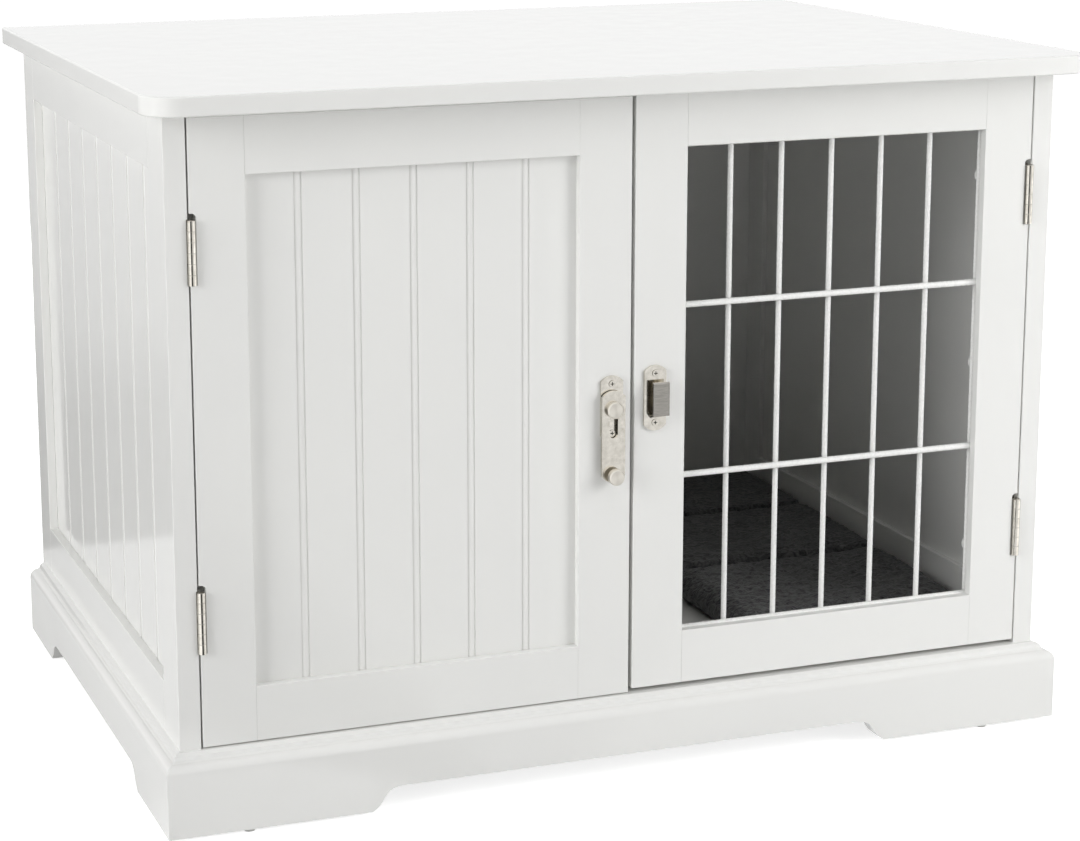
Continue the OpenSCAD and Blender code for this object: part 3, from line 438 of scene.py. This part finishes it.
def pad_shape(low, high):
    """A crowned pad with soft ends, in rings along Y."""
    centre = (low + high) / 2
    half_x, half_y = (high.x - low.x) / 2, (high.y - low.y) / 2
    thick = high.z - low.z
    points = []
    for j in range(PAD_ROWS + 1):
        along = (j / PAD_ROWS - 0.5) * math.pi
        y = centre.y + half_y * math.sin(along)
        end = math.cos(along) ** END_POWER
        for i in range(PAD_RING):
            a = 2 * math.pi * i / PAD_RING
            c, s = math.cos(a), math.sin(a)
            wide = half_x * (END_WIDTH + END_GAIN * end)
            x = centre.x + wide * math.copysign(abs(c) ** SIDE_POWER, c)
            share = CROWN_SHARE if s > 0 else BELLY_SHARE
            up = thick * share * math.copysign(abs(s) ** CROWN_POWER, s) * end
            points.append((x, y, low.z + BELLY_SHARE * thick + up))
    faces = []
    for j in range(PAD_ROWS):
        row, ahead = j * PAD_RING, (j + 1) * PAD_RING
        for i in range(PAD_RING):
            k = (i + 1) % PAD_RING
            faces.append((row + i, row + k, ahead + k, ahead + i))
    faces.append(tuple(reversed(range(PAD_RING))))
    faces.append(tuple(PAD_ROWS * PAD_RING + i for i in range(PAD_RING)))
    return points, faces


def inflate(mat):
    """Rounds the pad by cloth with pressure inside, nowhere by more than MAT_SWELL."""
    start = [v.co.copy() for v in mat.data.vertices]
    cloth = mat.modifiers.new("cloth", "CLOTH")
    cloth.settings.use_pressure = True
    cloth.settings.uniform_pressure_force = CLOTH_PRESSURE
    cloth.settings.effector_weights.gravity = 0
    cloth.settings.quality = CLOTH_QUALITY
    for step in range(1, CLOTH_FRAMES + 1):
        scene.frame_set(step)
    settle(mat)
    for v, was in zip(mat.data.vertices, start):
        move = v.co - was
        if move.length > MAT_SWELL:
            v.co = was + move * (MAT_SWELL / move.length)


def shape_mat(mesh, low, high):
    """Presses the sewn creases in, turns the edge up at the right wall and ruffles the pile."""
    length = high.y - low.y
    normals = [v.normal.copy() for v in mesh.vertices]
    for v, normal in zip(mesh.vertices, normals):
        p = v.co
        up = max((p.z - low.z) / (high.z - low.z), 0)
        ahead = 1 - (p.y - low.y) / length
        p.z -= MAT_FALL * ahead * up
        side = clamp((p.x - high.x + WALL_BAND) / WALL_BAND, 0, 1)
        p.z += WALL_RISE * side * min(WALL_LIFT * up, 1) * (1 - WALL_FADE * ahead)
        p.x += WALL_PUSH * side ** 2
        for seam in MAT_SEAMS:
            wobble = SEAM_WOBBLE * noise.noise(Vector((p.x * WOBBLE_PITCH, seam * WOBBLE_SEED, 0)))
            far = abs(p.y - (low.y + seam * length + wobble))
            press = math.exp(-(far / SEAM_CREASE) ** 2)
            press += DIP_WEIGHT * math.exp(-(far / SEAM_DIP) ** 2)
            p.z -= SEAM_DEPTH * press * up ** SEAM_FADE
        tuft = noise.noise(p * TUFT_WIDE) + TUFT_FINE_WEIGHT * noise.noise(p * TUFT_FINE)
        if up > PILE_FROM:
            p += normal * TUFT_HEIGHT * tuft
        p.x = clamp(p.x, low.x + MAT_ROOM, high.x - MAT_ROOM)
        p.y = clamp(p.y, low.y + MAT_ROOM, high.y - MAT_ROOM)
        p.z = clamp(p.z, low.z, high.z - MAT_ROOM)


def make_mat():
    low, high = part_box("mat")
    mat = mesh_object("plush_mat", *pad_shape(low + MAT_INSET, high - MAT_INSET))
    remesh = mat.modifiers.new("remesh", "REMESH")
    remesh.mode = "VOXEL"
    remesh.voxel_size = MAT_VOXEL
    settle(mat)
    inflate(mat)
    subdivide = mat.modifiers.new("subdivide", "SUBSURF")
    subdivide.levels = subdivide.render_levels = 1
    settle(mat)
    shape_mat(mat.data, low, high)
    mat.data.polygons.foreach_set("use_smooth", [True] * len(mat.data.polygons))
    mat.data.materials.clear()
    mat.data.materials.append(finishes["mat_fabric"])
    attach(mat, "cabinet")
    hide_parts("mat")


make_mat()

# Floor that the camera sees: its tone, and a glow that turns it white further out
FLOOR_HALF = 12.0
FLOOR_TONE = 0.82
FLOOR_LIFT = 0.74
LIFT_FROM, LIFT_FULL = 0.55, 1.1

# Mirrored surroundings behind the kennel: a table, and from its back edge a room up to a wall
MIRROR_NEAR = 0.6
MIRROR_DARK, MIRROR_ROOM, MIRROR_WALL = 0.15, 0.38, 0.52
TABLE_BACK_Y, TABLE_EDGE = 0.50, 0.02
ROOM_NEAR_Y, ROOM_FAR_Y, WALL_Y = 1.05, 1.6, 3.0

# Mirrored surroundings in front, by the angle round TURN_X, TURN_Y, counted from the front to the
# right: bright sides, a dark stand up to STAND_RIGHT, then a light stretch up to the right side
MIRROR_FRONT, MIRROR_STAND, MIRROR_SIDES = 0.85, 0.06, 1.3
STAND_LEFT, STAND_RIGHT, SIDES_RIGHT = math.radians(-45), 0.0, math.radians(47)
STAND_EDGE = math.radians(5)
TURN_X, TURN_Y = -0.1, -0.24
FRONT_UNTIL_Y, BEHIND_FROM_Y = -0.35, -0.15

# Sky: what lights the scene below and above the split, and what paint and metal mirror of it
SKY_LOW, SKY_HIGH = 0.02, 0.08
SKY_SPLIT, SKY_BLEND = 0.45, 0.15
MIRROR_SKY = 1.17

# Lamps: name, place, the point aimed at, width, height and watts. The last two stay lower than
# the tabletop, so that they light only the back and the right side.
LAMPS = [
    ("key", (1.3, -1.4, 0.85), (0.1, 0, 0.25), 1.0, 1.0, 18.6),
    ("fill", (-2.8, -0.9, 1.1), (-0.2, 0, 0.25), 1.8, 1.6, 60),
    ("high", (0, -1.6, 2.4), (0, -0.1, 0.3), 2.4, 1.4, 12),
    ("top", (0, 0.15, 2.2), (0, 0.14, 0.5), 0.8, 0.5, 8),
    ("back", (0, 2.4, 0.38), (0, 0.3, 0.3), 0.7, 0.2, 20),
    ("right", (2.6, 0.5, 0.38), (0.3, 0.1, 0.3), 0.7, 0.2, 13),
]


def mix_shaders(g, factor, a, b):
    node = g.add("ShaderNodeMixShader")
    g.set(node, "0", factor)
    g.set(node, "1", a.outputs[0])
    g.set(node, "2", b.outputs[0])
    return node


def mirrored_level(g, x, y):
    """How bright each point of the floor is to what mirrors it."""
    beyond = g.ramp(y, TABLE_BACK_Y, TABLE_BACK_Y + TABLE_EDGE)
    room = g.math("ADD", g.ramp(y, ROOM_NEAR_Y, ROOM_FAR_Y, MIRROR_DARK, MIRROR_ROOM),
                  g.ramp(y, ROOM_FAR_Y, WALL_Y, 0.0, MIRROR_WALL - MIRROR_ROOM))
    table = g.ramp(beyond, 0.0, 1.0, MIRROR_NEAR, 0.0)
    back = g.math("ADD", g.math("MULTIPLY", beyond, room), table)
    turn = g.math("ARCTAN2", g.math("SUBTRACT", x, TURN_X), g.math("SUBTRACT", TURN_Y, y))
    front = g.bands(turn, STAND_EDGE, MIRROR_SIDES, [
        (STAND_LEFT, MIRROR_STAND), (STAND_RIGHT, MIRROR_FRONT), (SIDES_RIGHT, MIRROR_SIDES)])
    behind = g.ramp(y, FRONT_UNTIL_Y, BEHIND_FROM_Y)
    ahead = g.ramp(behind, 0.0, 1.0, 1.0, 0.0)
    return g.math("ADD", g.math("MULTIPLY", behind, back), g.math("MULTIPLY", ahead, front))


def make_floor():
    corners = [(x * FLOOR_HALF, y * FLOOR_HALF, 0) for x, y in ((-1, -1), (1, -1), (1, 1), (-1, 1))]
    floor = mesh_object("floor", corners, [(0, 1, 2, 3)], smooth=False)
    material = bpy.data.materials.new("floor")
    material.use_nodes = True
    material.node_tree.nodes.clear()
    g = Graph(material.node_tree)
    path = g.add("ShaderNodeLightPath")
    here = g.place()
    axes = g.axes(here)
    diffuse = g.add("ShaderNodeBsdfDiffuse", Color=(FLOOR_TONE, FLOOR_TONE, FLOOR_TONE, 1))
    glow = g.ramp(g.length(here), LIFT_FROM, LIFT_FULL, FLOOR_LIFT, 1.0)
    lift = g.add("ShaderNodeEmission", Color=(1, 1, 1, 1), Strength=glow)
    seen = g.add("ShaderNodeAddShader")
    g.set(seen, "0", diffuse.outputs[0])
    g.set(seen, "1", lift.outputs[0])
    mirrored = g.add("ShaderNodeEmission", Strength=mirrored_level(g, axes[0], axes[1]))
    plain = mix_shaders(g, path.outputs["Is Camera Ray"], diffuse, seen)
    whole = mix_shaders(g, path.outputs["Is Glossy Ray"], plain, mirrored)
    out = g.add("ShaderNodeOutputMaterial")
    g.set(out, "0", whole.outputs[0])
    floor.data.materials.append(material)


def make_world():
    """White to the camera, bright to mirroring surfaces, and dim as a light."""
    world = bpy.data.worlds.new("studio")
    world.use_nodes = True
    scene.world = world
    world.node_tree.nodes.clear()
    g = Graph(world.node_tree)
    path = g.add("ShaderNodeLightPath")
    up = g.axes(g.add("ShaderNodeTexCoord").outputs["Generated"])[2]
    lit = g.ramp(up, SKY_SPLIT - SKY_BLEND, SKY_SPLIT + SKY_BLEND, SKY_LOW, SKY_HIGH)
    glossy = path.outputs["Is Glossy Ray"]
    level = g.math("ADD", g.math("MULTIPLY", glossy, MIRROR_SKY),
                   g.math("MULTIPLY", g.math("SUBTRACT", 1.0, glossy), lit))
    strength = g.math("MAXIMUM", path.outputs["Is Camera Ray"], level)
    background = g.add("ShaderNodeBackground", Color=(1, 1, 1, 1), Strength=strength)
    out = g.add("ShaderNodeOutputWorld")
    g.set(out, "0", background.outputs[0])


def area_lamp(name, place, target, width, height, watts):
    """A soft rectangular lamp that mirroring surfaces don't show."""
    data = bpy.data.lights.new(name, "AREA")
    data.shape = "RECTANGLE"
    data.size, data.size_y = width, height
    data.energy = watts
    lamp = bpy.data.objects.new(name, data)
    lamp.visible_glossy = False
    scene.collection.objects.link(lamp)
    aim = (Vector(target) - Vector(place)).to_track_quat("-Z", "Y")
    lamp.matrix_world = Matrix.Translation(Vector(place)) @ aim.to_matrix().to_4x4()


make_floor()
make_world()
for lamp_values in LAMPS:
    area_lamp(*lamp_values)

scene.view_settings.view_transform = "Standard"
